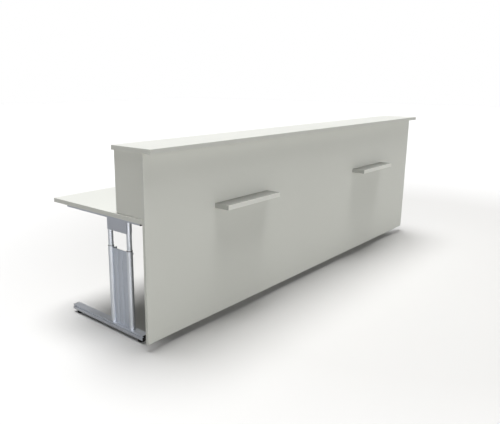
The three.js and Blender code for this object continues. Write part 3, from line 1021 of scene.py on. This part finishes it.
class COUNTER_OT_stage(bpy.types.Operator):
    """Set the floor, the soft light and the camera"""
    bl_idname = "counter.stage"
    bl_label = "Stage"

    def execute(self, context):
        stage = context.scene.counter_stage
        context.scene.view_settings.view_transform = "Standard"
        lay_floor(stage)
        set_sky(context.scene, stage)
        for name, spread, travel in LIGHTS:
            light = hang_light(name, getattr(stage, f"{name}_strength"), spread, travel)
            if name == "grazing":
                light.light_linking.receiver_collection = bpy.data.collections.new(GRAZED)
        place_camera(context.scene, stage)
        return {"FINISHED"}


def lay_floor(stage):
    bm = bmesh.new()
    bmesh.ops.create_grid(bm, x_segments=1, y_segments=1, size=stage.floor_size / 2)
    mesh = bpy.data.meshes.new("floor")
    bm.to_mesh(mesh)
    bm.free()
    mesh.materials.append(
        floor_paint("Pale floor", stage.floor_colour, stage.far_and_lit_floor_colour, stage.bounce_colour))
    floor = bpy.data.objects.new("floor", mesh)
    bpy.context.scene.collection.objects.link(floor)


def set_sky(scene, stage):
    """Soft light from all round at eye level, strongest from the customer's left; the camera sees white."""
    world = bpy.data.worlds.new("Studio")
    scene.world = world
    world.use_nodes = True
    tree = world.node_tree
    tree.nodes.clear()
    direction = new_node(tree, "ShaderNodeTexCoord").outputs["Generated"]
    height = new_node(tree, "ShaderNodeSeparateXYZ", {"Vector": direction}).outputs["Z"]
    path = new_node(tree, "ShaderNodeLightPath")
    reach = new_node(tree, "ShaderNodeMapRange", {
        "Value": path.outputs["Is Glossy Ray"], "To Min": 0.35, "To Max": 0.75})
    ring = new_node(tree, "ShaderNodeMapRange", {
        "Value": height, "From Min": 0.0, "From Max": reach.outputs[0],
        "To Min": 1.0, "To Max": 0.03}, interpolation_type="SMOOTHSTEP")
    towards = new_node(tree, "ShaderNodeVectorMath", {
        0: direction, 1: Vector(stage.softbox_side).normalized()}, operation="DOT_PRODUCT")
    softbox = new_node(tree, "ShaderNodeMapRange", {
        "Value": towards.outputs["Value"], "From Min": 0.35, "From Max": 1.0,
        "To Min": 0.0, "To Max": stage.softbox_strength}, interpolation_type="SMOOTHSTEP")
    gloss = new_node(tree, "ShaderNodeMapRange", {
        "Value": path.outputs["Is Glossy Ray"], "To Min": 1.0, "To Max": stage.gloss_boost})
    mirrored = new_node(tree, "ShaderNodeMath", {
        0: softbox.outputs[0], 1: gloss.outputs[0]}, operation="MULTIPLY")
    level = new_node(tree, "ShaderNodeMath", {
        0: mirrored.outputs[0], 1: stage.horizon_strength}, operation="ADD")
    strength = new_node(tree, "ShaderNodeMath", {
        0: level.outputs[0], 1: ring.outputs[0]}, operation="MULTIPLY")
    light = new_node(tree, "ShaderNodeBackground", {
        "Color": (1, 1, 1, 1), "Strength": strength.outputs[0]})
    seen = new_node(tree, "ShaderNodeBackground", {"Color": (1, 1, 1, 1), "Strength": 1.0})
    mix = new_node(tree, "ShaderNodeMixShader", {
        0: path.outputs["Is Camera Ray"], 1: light.outputs[0], 2: seen.outputs[0]})
    output = tree.nodes.new("ShaderNodeOutputWorld")
    tree.links.new(mix.outputs[0], output.inputs["Surface"])


def hang_light(name, strength, spread, travel):
    """A distant light as wide as spread, in degrees, whose rays travel along the given direction."""
    lamp = bpy.data.lights.new(name, "SUN")
    lamp.energy = strength
    lamp.angle = math.radians(spread)
    light = bpy.data.objects.new(name, lamp)
    light.rotation_euler = Vector(travel).to_track_quat("-Z", "Y").to_euler()
    bpy.context.scene.collection.objects.link(light)
    return light


def place_camera(scene, stage):
    data = bpy.data.cameras.new("camera")
    data.sensor_width = 36
    data.lens = stage.camera_lens
    data.shift_x, data.shift_y = stage.camera_shift
    camera = bpy.data.objects.new("camera", data)
    camera.location = stage.camera_place
    camera.rotation_euler = (math.pi / 2 + stage.camera_pitch, 0, -stage.camera_yaw)
    scene.collection.objects.link(camera)
    scene.camera = camera


# ---- Panel and registration ----

STEPS = (
    COUNTER_OT_stage,
    COUNTER_OT_top_board,
    COUNTER_OT_worktop,
    COUNTER_OT_front_panel,
    COUNTER_OT_cheeks,
    COUNTER_OT_bag_shelves,
    COUNTER_OT_foot_rails,
    COUNTER_OT_glides,
    COUNTER_OT_columns,
    COUNTER_OT_column_covers,
    COUNTER_OT_top_frames,
    COUNTER_OT_crossbeams,
    COUNTER_OT_screws,
)
SETTINGS = {
    "counter_boards": CounterBoardSettings,
    "counter_steel": CounterSteelSettings,
    "counter_fittings": CounterFittingSettings,
    "counter_stage": CounterStageSettings,
}


class COUNTER_PT_builder(bpy.types.Panel):
    """Lists the counter's settings and the steps that build it"""
    bl_idname = "COUNTER_PT_builder"
    bl_label = "Service Counter"
    bl_space_type = "VIEW_3D"
    bl_region_type = "UI"
    bl_category = "Counter"

    def draw(self, context):
        for name, settings in SETTINGS.items():
            column = self.layout.column(align=True)
            for prop in settings.__annotations__:
                column.prop(getattr(context.scene, name), prop)
        for step in STEPS:
            self.layout.operator(step.bl_idname)


def register():
    for name, settings in SETTINGS.items():
        bpy.utils.register_class(settings)
        setattr(bpy.types.Scene, name, PointerProperty(type=settings))
    for step in STEPS:
        bpy.utils.register_class(step)
    bpy.utils.register_class(COUNTER_PT_builder)


def unregister():
    bpy.utils.unregister_class(COUNTER_PT_builder)
    for step in reversed(STEPS):
        bpy.utils.unregister_class(step)
    for name, settings in SETTINGS.items():
        delattr(bpy.types.Scene, name)
        bpy.utils.unregister_class(settings)


def main():
    register()
    for step in STEPS:
        category, name = step.bl_idname.split(".")
        getattr(getattr(bpy.ops, category), name)()


if __name__ == "__main__":
    main()
